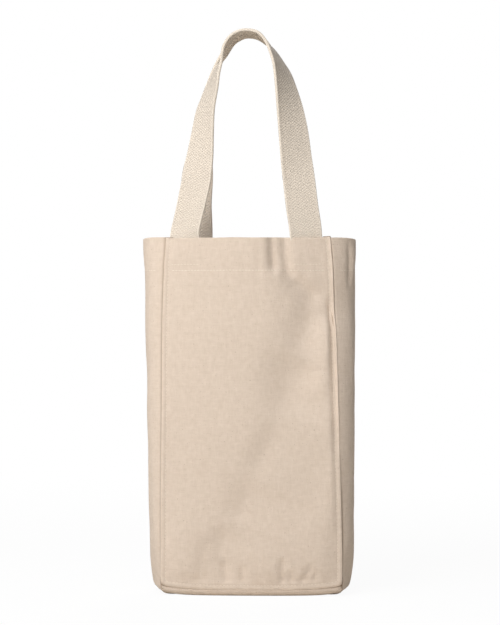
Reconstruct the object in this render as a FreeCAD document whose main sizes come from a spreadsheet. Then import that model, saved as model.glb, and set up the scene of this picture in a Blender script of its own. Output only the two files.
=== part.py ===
import FreeCAD, Part
import os

import Sketcher
from FreeCAD import Placement, Rotation, Vector

# Two-bottle carrier sewn from natural cotton canvas, with two handles of cotton webbing.
# The front looks along -Y, +Z is up and the origin is on the floor under the middle of the bag.
# A front and a back panel lap over the flanges of two side gussets and a tray-shaped bottom,
# a divider parts the two bottles, and the rim is a doubled hem that holds the webbing's ends.

# Driving dimensions in millimetres: alias, size, meaning
SIZES = (
    ("canvas", 0.8, "thickness of one ply of canvas"),
    ("lay_gap", 0.3, "clearance between two plies that lie on each other"),
    ("body_height", 350, "floor to rim"),
    ("hem_depth", 34, "rim to the hem's lower edge"),
    ("foot_height", 7, "floor to the lower edge of the panels and gussets"),
    ("band_height", 12, "straight band above the foot of a panel"),
    ("low_level", 60, "floor to the low section"),
    ("mid_level", 130, "floor to the middle section"),
    ("high_level", 220, "floor to the high section"),
    ("half_width_foot", 89, "middle to side seam at the foot"),
    ("half_width_low", 88.6, "middle to side seam at the low section"),
    ("half_width_mid", 87.4, "middle to side seam at the middle section"),
    ("half_width_high", 85.6, "middle to side seam at the high section"),
    ("half_width_hem", 81, "middle to side seam at the hem"),
    ("half_depth_foot", 44.5, "middle to the panel's edge, front to back, at the foot"),
    ("half_depth_low", 44, "the same at the low section"),
    ("half_depth_mid", 43, "the same at the middle section"),
    ("half_depth_high", 41, "the same at the high section"),
    ("half_depth_hem", 38, "the same at the hem"),
    ("panel_bow_foot", 4, "how far the panel's middle stands proud of its edges at the foot"),
    ("panel_bow_low", 5, "the same at the low section"),
    ("panel_bow_mid", 6, "the same at the middle section"),
    ("panel_bow_high", 8, "the same at the high section"),
    ("panel_bow_hem", 10, "the same at the hem"),
    ("gusset_bow_foot", 6, "how far the gusset's middle stands out from the side seams at its foot"),
    ("gusset_bow_band", 11.5, "the same at the top of the foot band"),
    ("gusset_bow_low", 13.5, "the same at the low section"),
    ("gusset_bow_mid", 15.5, "the same at the middle section"),
    ("gusset_bow_high", 18, "the same at the high section"),
    ("gusset_bow_hem", 24, "the same at the hem"),
    ("edge_set_in", 0.3, "how far the gusset's corner lies inside the panel's edge"),
    ("seam_flange", 9, "width of the gusset's flange under the panel"),
    ("bottom_lap", 10, "height of the bottom's wall inside the panels"),
    ("bottom_corner", 4, "cut across the bottom's upright corners"),
    ("bottom_bevel", 3.5, "slope between the bottom's floor and its wall"),
    ("divider_lap", 11, "how far the divider reaches up into the hem"),
    ("divider_flange", 10, "width of the divider's sewn flanges"),
    ("web_width", 32, "width of the handle webbing"),
    ("web_thick", 2, "thickness of the handle webbing"),
    ("strap_inset", 5, "side seam to the webbing's near edge"),
    ("strap_clear", 1.5, "side clearance between the webbing's end and the gusset's flange"),
    ("handle_drop", 207, "rim to the middle of the webbing at the top of its loop"),
    ("handle_gap", 0.5, "half of the gap between the two handles where they meet"),
    ("stitch_inset", 5, "panel's edge to its row of stitches"),
    ("hem_stitch_inset", 2, "hem's lower edge to its row of stitches"),
    ("tack_rise", 6, "hem's stitches to the second row across the webbing's end"),
    ("thread_width", 0.7, "width of a row of thread"),
    ("thread_proud", 0.35, "how far a row of thread stands out"),
    ("thread_gap", 0.1, "clearance between a row of thread and the canvas under it"),
)

# Half a handle from the rim to the top of its loop, as shares of its drop, its reach and its turn
HANDLE_RISE_SHARES = (0, 0.07, 0.19, 0.36, 0.56, 0.69, 0.79, 0.865, 0.94, 0.983, 1)
HANDLE_REACH_SHARES = (1, 0.965, 0.9, 0.822, 0.745, 0.667, 0.567, 0.475, 0.358, 0.208, 0)
HANDLE_TURN_SHARES = (0, 0.02, 0.055, 0.13, 0.3, 0.47, 0.66, 0.8, 0.91, 0.97, 1)
TOP_TURN_DEGREES = 90
STEPS_BETWEEN_SHARES = 2

# Flat facets round the bow of a panel and of a gusset
PANEL_FACETS = 8
GUSSET_FACETS = 10
BOTTOM_FRONT_FACETS = 6
BOTTOM_SIDE_FACETS = 4

HALF_TURN = Rotation(Vector(0, 0, 1), 180)
FRONT = Rotation()
BACK = HALF_TURN
RIGHT = 1
LEFT = -1

doc = FreeCAD.newDocument("bottle_carrier")
sheet = doc.addObject("Spreadsheet::Sheet", "Sizes")
for row, (alias, size, meaning) in enumerate(SIZES, start=1):
    sheet.set(f"A{row}", meaning)
    sheet.set(f"B{row}", str(size))
    sheet.setAlias(f"B{row}", alias)
doc.recompute()

subparts = []


# Expressions and numbers

def cell(alias):
    return f"Sizes.{alias}"


def number(expression):
    return float(sheet.evalExpression(expression))


CANVAS = cell("canvas")
LAY_GAP = cell("lay_gap")
BAND_LEVEL = f"({cell('foot_height')} + {cell('band_height')})"
HEM_LEVEL = f"({cell('body_height')} - {cell('hem_depth')})"
STRAP_REACH = f"({cell('half_width_hem')} - {cell('strap_inset')} - {cell('web_width')} / 2)"

# The sections of the body from the foot to the hem: height, seam sizes, panel bow, gusset bow
LEVELS = {
    "foot": (cell("foot_height"), "foot", "foot", "foot"),
    "band": (BAND_LEVEL, "foot", "foot", "band"),
    "low": (cell("low_level"), "low", "low", "low"),
    "mid": (cell("mid_level"), "mid", "mid", "mid"),
    "high": (cell("high_level"), "high", "high", "high"),
    "hem": (HEM_LEVEL, "hem", "hem", "hem"),
}
WALL_LEVELS = ("band", "low", "mid", "high", "hem")


class BowedPanel:
    """The round section of the front panel at one level: an arc that stands proud of its two edges."""

    def __init__(self, level):
        self.height, seam, bow, _ = LEVELS[level]
        self.half_width = cell(f"half_width_{seam}")
        depth = cell(f"half_depth_{seam}")
        rise = cell(f"panel_bow_{bow}")
        self.radius = f"(({self.half_width}^2 + {rise}^2) / (2 * {rise}))"
        self.centre = f"({self.radius} - {depth} - {rise})"

    def ply(self, plies, gaps):
        """Radius of the face that lies that many plies and clearances inside the outer face."""
        return f"({self.radius} - {plies} * {CANVAS} - {gaps} * {LAY_GAP})"

    def across(self, radius, x):
        """Y of the arc of that radius where it passes x."""
        return f"({self.centre} - sqrt(({radius})^2 - ({x})^2))"


def facet_shares(count):
    """Even shares from one end of an arc to the other."""
    return [2 * step / count - 1 for step in range(count + 1)]


# Sketches and bodies

def new_body(label, turn=FRONT):
    body = doc.addObject("PartDesign::Body", label)
    body.Label = label
    body.Placement = Placement(Vector(), turn)
    return body


def plane_of(body, role):
    return next(plane for plane in body.Origin.OriginFeatures if plane.Role == role)


def new_sketch(body, name, role="XY_Plane", height=None):
    sketch = body.newObject("Sketcher::SketchObject", name)
    sketch.AttachmentSupport = (plane_of(body, role), [""])
    sketch.MapMode = "FlatFace"
    if height:
        sketch.setExpression("AttachmentOffset.Base.z", height)
    return sketch


def bind(sketch, constraint, expression):
    """Adds a dimension and ties it to its expression."""
    index = sketch.addConstraint(constraint)
    sketch.setExpression(f"Constraints[{index}]", expression)


def draw_outline(sketch, corners, arcs=None):
    """Draws a closed outline through corners given as expressions. arcs maps an edge's number
    to its radius and centre, and the other edges are straight."""
    arcs = arcs or {}
    points = [Vector(number(x), number(y), 0) for x, y in corners]
    ends = []
    for edge, start in enumerate(points):
        stop = points[(edge + 1) % len(points)]
        if edge not in arcs:
            geometry = sketch.addGeometry(Part.LineSegment(start, stop))
            ends.append((geometry, 1, 2))
            continue
        radius, centre = arcs[edge]
        middle = Vector(number(centre[0]), number(centre[1]), 0)
        crown = middle + ((start + stop) * 0.5 - middle).normalize() * number(radius)
        if (crown - start).cross(stop - crown).z > 0:
            geometry = sketch.addGeometry(Part.Arc(start, crown, stop))
            ends.append((geometry, 1, 2))
        else:
            geometry = sketch.addGeometry(Part.Arc(stop, crown, start))
            ends.append((geometry, 2, 1))
        value = number(radius)
        bind(sketch, Sketcher.Constraint("Radius", geometry, value), radius)
    for edge, (geometry, start, stop) in enumerate(ends):
        follower, follower_start, _ = ends[(edge + 1) % len(ends)]
        sketch.addConstraint(Sketcher.Constraint("Coincident", geometry, stop, follower, follower_start))
        x, y = corners[edge]
        bind(sketch, Sketcher.Constraint("DistanceX", -1, 1, geometry, start, number(x)), x)
        bind(sketch, Sketcher.Constraint("DistanceY", -1, 1, geometry, start, number(y)), y)


def pad(body, sketch, length, midplane=False):
    feature = body.newObject("PartDesign::Pad", f"{sketch.Name}_pad")
    feature.Profile = sketch
    feature.setExpression("Length", length)
    feature.Midplane = midplane
    return feature


def loft(body, sketches, kind="Additive"):
    feature = body.newObject(f"PartDesign::{kind}Loft", f"{sketches[0].Name}_loft")
    feature.Profile = sketches[0]
    feature.Sections = [(sketch, [""]) for sketch in sketches[1:]]
    feature.Ruled = True
    return feature


def raise_wall(body, name, draw, hem_draw):
    """Raises a wall from its foot through its swelling middle to its straight hem. draw and
    hem_draw draw the wall's section at a level into a sketch."""
    sketches = []
    for level, (height, *_) in LEVELS.items():
        sketch = new_sketch(body, f"{name}_{level}", height=height)
        draw(sketch, level)
        sketches.append(sketch)
    loft(body, sketches)
    hem = new_sketch(body, f"{name}_hem_band", height=HEM_LEVEL)
    hem_draw(hem, "hem")
    pad(body, hem, cell("hem_depth"))


# Canvas pieces

def draw_panel(sketch, level, plies=1):
    """One panel's section: a bow of canvas between its two side seams."""
    panel = BowedPanel(level)
    places = [f"({share} * {panel.half_width})" for share in facet_shares(PANEL_FACETS)]
    outer = [(x, panel.across(panel.radius, x)) for x in places]
    inner = [(x, panel.across(panel.ply(plies, 0), x)) for x in places]
    draw_outline(sketch, outer + inner[::-1])


def draw_panel_hem(sketch, level):
    draw_panel(sketch, level, plies=2)


def make_panel(label, turn):
    body = new_body(label, turn)
    raise_wall(body, label, draw_panel, draw_panel_hem)
    subparts.append(body)


def bulge_points(corner_x, half_depth, bow, shares, lift="0"):
    """Points round the right gusset's bulge, front to back, between two corners at corner_x.
    lift raises them off its face."""
    radius = f"(({half_depth}^2 + {bow}^2) / (2 * {bow}))"
    middle = f"({corner_x} + {bow} - {radius})"
    points = []
    for share in shares:
        angle = f"({share} * asin({half_depth} / {radius}))"
        points.append((f"({middle} + ({radius} + {lift}) * cos({angle}))", f"(({radius} + {lift}) * sin({angle}))"))
    return points


def draw_gusset(sketch, level, plies=1):
    """The right gusset's section: a bulge with a flange turned in under each panel."""
    panel = BowedPanel(level)
    at_hem = level == "hem"
    under = 2 if at_hem else 1
    flange = f"({cell('strap_inset')} - {cell('strap_clear')})" if at_hem else cell("seam_flange")
    bow = f"({cell('gusset_bow_' + LEVELS[level][3])} + {cell('edge_set_in')})"
    outer, inner = panel.ply(under, 1), panel.ply(under + plies, 1)
    outer_x = f"({panel.half_width} - {cell('edge_set_in')})"
    inner_x = f"({outer_x} - {plies} * {CANVAS})"
    tip_x = f"({outer_x} - {flange})"
    outer_tip, inner_tip = panel.across(outer, tip_x), panel.across(inner, tip_x)
    shares = facet_shares(GUSSET_FACETS)
    corners = [(tip_x, outer_tip)]
    corners += bulge_points(outer_x, f"(-{panel.across(outer, outer_x)})", bow, shares)
    corners += [(tip_x, f"(-{outer_tip})"), (tip_x, f"(-{inner_tip})")]
    corners += bulge_points(inner_x, f"(-{panel.across(inner, inner_x)})", bow, shares)[::-1]
    corners += [(tip_x, inner_tip)]
    draw_outline(sketch, corners)


def draw_gusset_hem(sketch, level):
    draw_gusset(sketch, level, plies=2)


def make_gusset(label, turn):
    body = new_body(label, turn)
    raise_wall(body, label, draw_gusset, draw_gusset_hem)
    subparts.append(body)


BOTTOM_TOP = f"({cell('foot_height')} + {cell('bottom_lap')})"


def draw_bottom(sketch, inset):
    """The bottom's outline, drawn that far inside its outer wall."""
    panel = BowedPanel("foot")
    wall = f"({panel.ply(2, 2)} - {inset})"
    cut = cell("bottom_corner")
    side_x = f"({panel.half_width} - {cell('edge_set_in')} - {CANVAS} - {LAY_GAP} - {inset})"
    places = [f"({share} * ({side_x} - {cut}))" for share in facet_shares(BOTTOM_FRONT_FACETS)]
    front = [(x, panel.across(wall, x)) for x in places]
    half_depth = f"(-{panel.across(wall, side_x)} - {cut})"
    bow = f"({cell('gusset_bow_foot')} - {LAY_GAP})"
    right = bulge_points(side_x, half_depth, bow, facet_shares(BOTTOM_SIDE_FACETS))
    ahead = front + right
    behind = [(f"(-{x})", f"(-{y})") for x, y in ahead]
    draw_outline(sketch, ahead + behind)


def make_bottom():
    """The bottom: a shallow tray whose wall stands inside the panels and gussets."""
    body = new_body("bottom_panel")
    bevel = cell("bottom_bevel")
    bend = f"({bevel} + {CANVAS} / 2)"
    outside = ((None, bevel), (bevel, "0"), (BOTTOM_TOP, "0"))
    inside = ((CANVAS, bend), (bend, CANVAS), (f"({BOTTOM_TOP} + {CANVAS})", CANVAS))
    for kind, levels in (("Additive", outside), ("Subtractive", inside)):
        sketches = []
        for height, inset in levels:
            sketches.append(new_sketch(body, f"bottom_{kind.lower()}", height=height))
            draw_bottom(sketches[-1], inset)
        loft(body, sketches, kind)
    subparts.append(body)


def make_divider():
    """The divider: one ply across the bag, sewn by flanges to the bottom and to both hems."""
    body = new_body("divider")
    floor = f"({CANVAS} + {LAY_GAP})"
    foot = BowedPanel("foot")
    hem = BowedPanel("hem")
    foot_reach = foot.across(foot.ply(3, 3), "0")
    front = [(foot_reach, floor), (foot_reach, f"({BOTTOM_TOP} + {LAY_GAP})")]
    for level in ("low", "mid", "high"):
        panel = BowedPanel(level)
        front.append((panel.across(panel.ply(2, 1), "0"), panel.height))
    hem_reach = hem.across(hem.ply(2, 1), "0")
    front.append((hem_reach, HEM_LEVEL))
    front.append((hem_reach, f"({HEM_LEVEL} + {cell('divider_lap')})"))
    back = [(f"(-{y})", z) for y, z in reversed(front)]
    sketch = new_sketch(body, "divider_sheet", role="YZ_Plane")
    draw_outline(sketch, front + back)
    pad(body, sketch, CANVAS, midplane=True)
    flange = new_sketch(body, "divider_foot", height=floor)
    near, far = foot_reach, f"(-{foot_reach})"
    width = cell("divider_flange")
    inset = cell("bottom_bevel")
    near, far = f"({near} + {inset})", f"({far} - {inset})"
    draw_outline(flange, (("0", near), (width, near), (width, far), ("0", far)))
    pad(body, flange, CANVAS)
    for side in ("", "-"):
        outer, inner = f"({side}{hem_reach})", f"({side}({hem_reach} + {CANVAS}))"
        tab = new_sketch(body, "divider_tab", height=HEM_LEVEL)
        corners = (("0", outer), (width, outer), (width, inner), ("0", inner))
        draw_outline(tab, corners)
        pad(body, tab, cell("divider_lap"))
    subparts.append(body)


# Webbing

def make_strap_end(label, side, turn):
    """The sewn end of the webbing, flat on the inside of the hem."""
    body = new_body(label, turn)
    hem = BowedPanel("hem")
    outer = hem.ply(2, 1)
    inner = f"({outer} - {cell('web_thick')})"
    left = f"({side} * {STRAP_REACH} - {cell('web_width')} / 2)"
    right = f"({side} * {STRAP_REACH} + {cell('web_width')} / 2)"
    corners = (
        (left, hem.across(outer, left)),
        (right, hem.across(outer, right)),
        (right, hem.across(inner, right)),
        (left, hem.across(inner, left)),
    )
    centre = ("0", hem.centre)
    sketch = new_sketch(body, f"{label}_section", height=HEM_LEVEL)
    draw_outline(sketch, corners, {0: (outer, centre), 2: (inner, centre)})
    pad(body, sketch, cell("hem_depth"))
    subparts.append(body)


def handle_stations():
    """Place, direction and outward turn of the webbing along the front handle, left to right."""
    hem = BowedPanel("hem")
    middle = f"({hem.ply(2, 1)} - {cell('web_thick')} / 2)"
    reach = number(STRAP_REACH)
    base_y = number(hem.across(middle, STRAP_REACH))
    top_y = -number(f"({cell('web_width')} / 2 + {cell('handle_gap')})")
    rim = number(f"({cell('body_height')} + {LAY_GAP})")
    base_turn = number(f"asin({STRAP_REACH} / {middle}) / 1 deg")
    half = []
    for rise, out, turn in zip(HANDLE_RISE_SHARES, HANDLE_REACH_SHARES, HANDLE_TURN_SHARES):
        point = Vector(out * reach, base_y + (top_y - base_y) * rise, rim + rise * number(cell("handle_drop")))
        half.append((point, base_turn + (TOP_TURN_DEGREES - base_turn) * turn))
    mirrored = [(Vector(-point.x, point.y, point.z), turn) for point, turn in half]
    given = mirrored + half[-2::-1]
    curve = Part.BSplineCurve()
    curve.interpolate([point for point, _ in given])
    marks = [(curve.parameter(point), turn) for point, turn in given]
    stations = [marks[0]]
    for (place, turn), (next_place, next_turn) in zip(marks, marks[1:]):
        for step in range(1, STEPS_BETWEEN_SHARES + 1):
            share = step / STEPS_BETWEEN_SHARES
            stations.append((place + (next_place - place) * share, turn + (next_turn - turn) * share))
    for place, turn in stations:
        yield curve.value(place), curve.tangent(place)[0], turn


def make_handle(label, turn):
    """A handle: webbing that leaves the hem flat and turns on edge towards the top of its loop."""
    body = new_body(label, turn)
    half_width, half_thick = f"({cell('web_width')} / 2)", f"({cell('web_thick')} / 2)"
    corners = (
        (f"(-{half_width})", f"(-{half_thick})"),
        (half_width, f"(-{half_thick})"),
        (half_width, half_thick),
        (f"(-{half_width})", half_thick),
    )
    sketches = []
    forward = Vector(0, -1, 0)
    stations = list(handle_stations())
    for index, (point, ahead, angle) in enumerate(stations):
        if index in (0, len(stations) - 1):
            ahead = Vector(0, 0, ahead.z).normalize()
        outward = forward.cross(ahead).normalize()
        facing = Rotation(ahead, -angle).multVec(forward)
        if facing.dot(outward) < 0:
            facing = Rotation(ahead, angle).multVec(forward)
        across = facing.cross(ahead).normalize()
        sketch = body.newObject("Sketcher::SketchObject", f"{label}_station_{index}")
        sketch.Placement = Placement(point, Rotation(across, facing, ahead, "ZXY"))
        draw_outline(sketch, corners)
        sketches.append(sketch)
    loft(body, sketches)
    subparts.append(body)


# Rows of thread

def draw_thread(sketch, panel, x):
    """A row's section where it climbs a panel: a small block on the panel's outer face."""
    near = f"({panel.radius} + {cell('thread_gap')})"
    far = f"({near} + {cell('thread_proud')})"
    left, right = f"({x} - {cell('thread_width')} / 2)", f"({x} + {cell('thread_width')} / 2)"
    corners = (
        (left, panel.across(far, left)),
        (right, panel.across(far, right)),
        (right, panel.across(near, right)),
        (left, panel.across(near, left)),
    )
    draw_outline(sketch, corners)


def arc_row(body, name, panel, left, right, height):
    """A level row of thread on the panel's outer face, from x left to x right."""
    near = f"({panel.radius} + {cell('thread_gap')})"
    far = f"({near} + {cell('thread_proud')})"
    corners = (
        (left, panel.across(far, left)),
        (right, panel.across(far, right)),
        (right, panel.across(near, right)),
        (left, panel.across(near, left)),
    )
    centre = ("0", panel.centre)
    sketch = new_sketch(body, name, height=height)
    draw_outline(sketch, corners, {0: (far, centre), 2: (near, centre)})
    pad(body, sketch, cell("thread_width"))


def climbing_row(label, side, turn):
    """A row of thread up one side of a panel, from the level row at its foot to the rim."""
    body = new_body(label, turn)

    def draw(sketch, level):
        panel = BowedPanel(level)
        x = f"({side} * ({panel.half_width} - {cell('stitch_inset')}))"
        draw_thread(sketch, panel, x)

    foot = new_sketch(body, f"{label}_foot", height=PANEL_ROW_TOP)
    draw(foot, "foot")
    sketches = [foot]
    for level in WALL_LEVELS:
        sketches.append(new_sketch(body, f"{label}_{level}", height=LEVELS[level][0]))
        draw(sketches[-1], level)
    loft(body, sketches)
    hem = new_sketch(body, f"{label}_rim", height=HEM_LEVEL)
    draw(hem, "hem")
    pad(body, hem, f"({cell('hem_depth')} - {LAY_GAP})")
    return body


PANEL_ROW = f"({cell('foot_height')} + {cell('stitch_inset')} - {cell('thread_width')} / 2)"
PANEL_ROW_TOP = f"({PANEL_ROW} + {cell('thread_width')})"
HEM_ROW = f"({HEM_LEVEL} + {cell('hem_stitch_inset')})"
TACK_ROW = f"({HEM_ROW} + {cell('tack_rise')})"


def group(label, members):
    compound = doc.addObject("Part::Compound", label)
    compound.Label = label
    compound.Links = members
    subparts.append(compound)


def make_panel_stitching(name, turn):
    """The row that runs round three sides of a panel and holds it to the flanges under it."""
    rows = [climbing_row(f"{name}_left_row", LEFT, turn), climbing_row(f"{name}_right_row", RIGHT, turn)]
    foot_row = new_body(f"{name}_foot_row", turn)
    panel = BowedPanel("foot")
    reach = f"({panel.half_width} - {cell('stitch_inset')} + {cell('thread_width')} / 2)"
    arc_row(foot_row, f"{name}_foot_row_section", panel, f"(-{reach})", reach, PANEL_ROW)
    group(f"{name}_panel_stitching", rows + [foot_row])


def make_hem_stitching(name, turn):
    """The row along a panel's hem, between the two climbing rows."""
    body = new_body(f"{name}_hem_stitching", turn)
    panel = BowedPanel("hem")
    reach = f"({panel.half_width} - {cell('stitch_inset')} - {cell('thread_width')})"
    arc_row(body, f"{name}_hem_row", panel, f"(-{reach})", reach, HEM_ROW)
    subparts.append(body)


def make_strap_tacks(name, turn):
    """The short second rows that hold the webbing's two ends in the hem."""
    tacks = []
    panel = BowedPanel("hem")
    clear = f"({cell('web_width')} / 2 - {cell('thread_width')})"
    for word, side in (("left", LEFT), ("right", RIGHT)):
        body = new_body(f"{name}_{word}_tack", turn)
        middle = f"({side} * {STRAP_REACH})"
        left, right = f"({middle} - {clear})", f"({middle} + {clear})"
        arc_row(body, f"{name}_{word}_tack_row", panel, left, right, TACK_ROW)
        tacks.append(body)
    group(f"{name}_strap_tacks", tacks)


def gusset_hem_row(label, turn):
    """The row along a gusset's hem, on its facets between the two end ones."""
    body = new_body(label, turn)
    panel = BowedPanel("hem")
    corner_x = f"({panel.half_width} - {cell('edge_set_in')})"
    half_depth = f"(-{panel.across(panel.ply(2, 1), corner_x)})"
    bow = f"({cell('gusset_bow_hem')} + {cell('edge_set_in')})"
    shares = facet_shares(GUSSET_FACETS)[1:-1]
    near = bulge_points(corner_x, half_depth, bow, shares, cell("thread_gap"))
    proud = f"({cell('thread_gap')} + {cell('thread_proud')})"
    far = bulge_points(corner_x, half_depth, bow, shares, proud)
    sketch = new_sketch(body, f"{label}_section", height=HEM_ROW)
    draw_outline(sketch, far + near[::-1])
    pad(body, sketch, cell("thread_width"))
    return body


def make_divider_stitching():
    """The row that sews the divider's foot flange to the bottom."""
    body = new_body("divider_stitching")
    top = f"(2 * {CANVAS} + {LAY_GAP} + {cell('thread_gap')})"
    foot = BowedPanel("foot")
    reach = f"({foot.across(foot.ply(3, 3), '0')} + {cell('bottom_bevel')} + {cell('thread_width')})"
    middle = f"({cell('divider_flange')} / 2)"
    left, right = f"({middle} - {cell('thread_width')} / 2)", f"({middle} + {cell('thread_width')} / 2)"
    sketch = new_sketch(body, "divider_row", height=top)
    draw_outline(sketch, ((left, reach), (right, reach), (right, f"(-{reach})"), (left, f"(-{reach})")))
    pad(body, sketch, cell("thread_proud"))
    subparts.append(body)


# Assembly

make_panel("front_panel", FRONT)
make_panel("back_panel", BACK)
make_gusset("right_gusset", FRONT)
make_gusset("left_gusset", HALF_TURN)
make_bottom()
make_divider()
for name, turn, left in (("front", FRONT, LEFT), ("back", BACK, RIGHT)):
    make_strap_end(f"{name}_left_strap_end", left, turn)
    make_strap_end(f"{name}_right_strap_end", -left, turn)
    make_handle(f"{name}_handle", turn)
    make_panel_stitching(name, turn)
    make_hem_stitching(name, turn)
    make_strap_tacks(name, turn)
gusset_rows = [gusset_hem_row("right_hem_row", FRONT), gusset_hem_row("left_hem_row", HALF_TURN)]
group("gusset_hem_stitching", gusset_rows)
make_divider_stitching()
doc.recompute()

# Checks, then one file for each sub-part

failed = [item.Label for item in doc.Objects if {"Invalid", "Error"} & set(item.State)]
for item in subparts:
    if item.Shape.isNull() or not item.Shape.isValid() or not item.Shape.Solids:
        failed.append(item.Label)
if failed:
    raise RuntimeError(f"failed: {sorted(set(failed))}")
os.makedirs("parts", exist_ok=True)
for item in subparts:
    item.Shape.exportStep(f"parts/{item.Label}.step")
    box = item.Shape.BoundBox
    print(item.Label, len(item.Shape.Solids), "solids", round(item.Shape.Volume, 1), "mm3",
          [round(v, 2) for v in (box.XMin, box.YMin, box.ZMin, box.XMax, box.YMax, box.ZMax)])
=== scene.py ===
# %% [markdown]
# # A canvas carrier for two bottles
# The carrier is sewn from flat pieces of cotton canvas, with two handles of cotton webbing.
# It could be cut out of one block, but a sewn thing is best modelled the way it is made: each
# piece starts as a flat grid, which is the cloth on the cutting table, and is then bent into the
# place where the seams hold it. The carrier's sizes are in millimetres until a point is placed.

# %% Load the frame
import bpy, bmesh, math
from functools import lru_cache
from mathutils import Matrix, Vector, noise


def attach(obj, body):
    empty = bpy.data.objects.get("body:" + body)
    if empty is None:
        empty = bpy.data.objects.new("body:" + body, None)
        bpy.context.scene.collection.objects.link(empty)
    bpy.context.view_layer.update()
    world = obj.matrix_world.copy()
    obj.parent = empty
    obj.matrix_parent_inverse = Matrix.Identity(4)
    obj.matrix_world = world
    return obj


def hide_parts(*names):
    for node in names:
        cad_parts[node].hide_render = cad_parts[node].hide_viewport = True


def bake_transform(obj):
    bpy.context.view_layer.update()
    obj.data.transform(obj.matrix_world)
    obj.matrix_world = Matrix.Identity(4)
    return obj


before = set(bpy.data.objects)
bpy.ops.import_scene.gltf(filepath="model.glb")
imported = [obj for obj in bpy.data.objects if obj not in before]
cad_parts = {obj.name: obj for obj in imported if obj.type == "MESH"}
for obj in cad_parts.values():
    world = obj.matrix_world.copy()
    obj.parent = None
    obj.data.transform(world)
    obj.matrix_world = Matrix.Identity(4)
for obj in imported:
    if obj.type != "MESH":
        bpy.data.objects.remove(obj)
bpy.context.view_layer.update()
MM = 0.001

# %% [markdown]
# ## Camera
# The photo was taken with a long lens, level with the middle of the carrier and four degrees
# round to its right. A camera that looks down could show the same front, but a level one needs
# no shift, and the uprights stay upright.

# %% Camera
DISTANCE, AROUND, EYE = 2.2, math.radians(4), 0.2767
FOCAL, SENSOR, FAR_END = 127.0, 36.0, 60
lens = bpy.data.cameras.new("photo_camera")
lens.lens, lens.sensor_width, lens.clip_end = FOCAL, SENSOR, FAR_END
camera = bpy.data.objects.new("photo_camera", lens)
camera.location = (DISTANCE * math.sin(AROUND), -DISTANCE * math.cos(AROUND), EYE)
camera.rotation_euler = (math.radians(90), 0, AROUND)
bpy.context.collection.objects.link(camera)
bpy.context.scene.camera = camera
bpy.context.scene.view_settings.view_transform = "Standard"
print("camera", round(lens.lens, 1), "mm at", tuple(round(c, 3) for c in camera.location))

# %% [markdown]
# ## Light
# A studio lights cloth with windows and white cards, so that its folds shade softly. Small lamps
# could be used, but they draw hard shadows, so every lamp here is a large disc. The main one
# stands in front and a little left, a weaker one at the left and one above. The right side falls
# into shade, softened by a weak card, and a card behind lights the back for views from there.
# The world adds a low even fill, and is white wherever it is seen.

# %% Lamps
LAMP_AIM = Vector((0, 0, 0.25))
# degrees round from the front, degrees up, distance and width in metres, power in watts
LAMPS = {
    "window_front": (-24, 34, 1.95, 1.6, 30.4),
    "window_left": (-74, 20, 2.4, 1.2, 8),
    "sheet_above": (-10, 74, 2.6, 2.0, 6),
    "card_right": (26, 6, 2.4, 1.2, 3.8),
    "card_behind": (172, 14, 2.6, 1.4, 36),
}


def soft_lamp(name, around, above, distance, size, power):
    """A round lamp that faces the carrier."""
    data = bpy.data.lights.new(name, "AREA")
    data.shape, data.size, data.energy = "DISK", size, power
    lamp = bpy.data.objects.new(name, data)
    a, e = math.radians(around), math.radians(above)
    way = Vector((math.sin(a) * math.cos(e), -math.cos(a) * math.cos(e), math.sin(e)))
    lamp.location = LAMP_AIM + way * distance
    lamp.rotation_euler = way.to_track_quat("Z", "Y").to_euler()
    bpy.context.collection.objects.link(lamp)


for name, placing in LAMPS.items():
    soft_lamp(name, *placing)
print("lamps:", ", ".join(LAMPS))

# %% Helpers for nodes
MIX_COLOURS, MIX_RESULT = (6, 7), 2  # the colour sockets among those of a Mix node


def add(tree, kind, **values):
    """Adds a node; a value named like a socket goes on the socket, any other is a setting."""
    made = tree.nodes.new(kind)
    for name, value in values.items():
        name = name.replace("_", " ").title() if name[0].isupper() else name
        if isinstance(value, bpy.types.NodeSocket):
            tree.links.new(value, made.inputs[name])
        elif name in made.inputs:
            made.inputs[name].default_value = value
        else:
            setattr(made, name, value)
    return made


def calc(tree, operation, first, second=0.0, third=0.0):
    """One step of arithmetic on sockets or plain numbers."""
    made = tree.nodes.new("ShaderNodeMath")
    made.operation = operation
    for socket, value in zip(made.inputs, (first, second, third)):
        if isinstance(value, bpy.types.NodeSocket):
            tree.links.new(value, socket)
        else:
            socket.default_value = value
    return made.outputs[0]


def tinted(tree, amount, first, second):
    """A colour between two colours, by a socket from 0 to 1."""
    blend = add(tree, "ShaderNodeMix", data_type="RGBA", clamp_factor=True)
    tree.links.new(amount, blend.inputs[0])
    for socket, value in zip(MIX_COLOURS, (first, second)):
        if isinstance(value, bpy.types.NodeSocket):
            tree.links.new(value, blend.inputs[socket])
        else:
            blend.inputs[socket].default_value = (*value, 1)
    return blend.outputs[MIX_RESULT]


def blank_material(name):
    """A material and its node tree, still empty."""
    finish = bpy.data.materials.new(name)
    finish.use_nodes = True
    finish.node_tree.nodes.clear()
    return finish, finish.node_tree


print("helpers for nodes are ready")

# %% World
FILL, WHITE = 0.15, (1, 1, 1)
world = bpy.context.scene.world or bpy.data.worlds.new("studio")
bpy.context.scene.world = world
world.use_nodes = True
tree = world.node_tree
tree.nodes.clear()
path = add(tree, "ShaderNodeLightPath")
seen = calc(tree, "MAXIMUM", path.outputs["Is Camera Ray"], path.outputs["Is Glossy Ray"])
seen = calc(tree, "MAXIMUM", seen, path.outputs["Is Transmission Ray"])
sky = add(tree, "ShaderNodeBackground", Color=(*WHITE, 1),
          Strength=calc(tree, "MULTIPLY_ADD", seen, 1 - FILL, FILL))
add(tree, "ShaderNodeOutputWorld", Surface=sky.outputs[0])
print("world: white where it is seen, and a fill of", FILL)

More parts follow.
